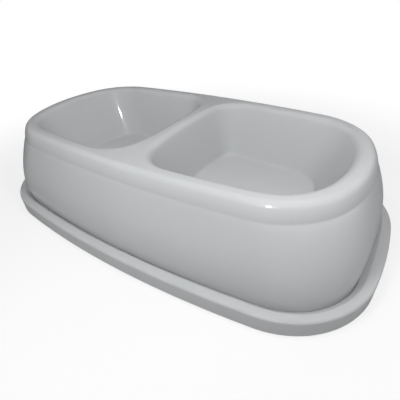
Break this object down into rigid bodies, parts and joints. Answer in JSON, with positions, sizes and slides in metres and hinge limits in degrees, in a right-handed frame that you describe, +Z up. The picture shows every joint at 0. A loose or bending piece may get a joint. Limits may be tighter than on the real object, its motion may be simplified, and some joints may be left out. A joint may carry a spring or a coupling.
{
  "type": "double pet bowl",
  "caption": "Long rounded feeding station with two deep wells side by side, standing on a flanged base tray with rubber feet.",
  "frame": {"origin": "on the floor under the middle of the object", "axes": "+X along the length from one well to the other, +Y towards the rear, +Z up; -Y is the front"},
  "size_m": [0.38, 0.2188, 0.0868],
  "materials": {
    "bowl_plastic": "glossy moulded",
    "tray_plastic": "glossy moulded",
    "screw_steel": "zinc plated",
    "foot_rubber": "matt"
  },
  "bodies": {
    "root": {"bowl_body": "bowl_plastic", "base_tray": "tray_plastic", "fixing_screws": "screw_steel", "foot_front_left": "foot_rubber", "foot_front_right": "foot_rubber", "foot_rear_left": "foot_rubber", "foot_rear_right": "foot_rubber"}
  },
  "joints": []
}
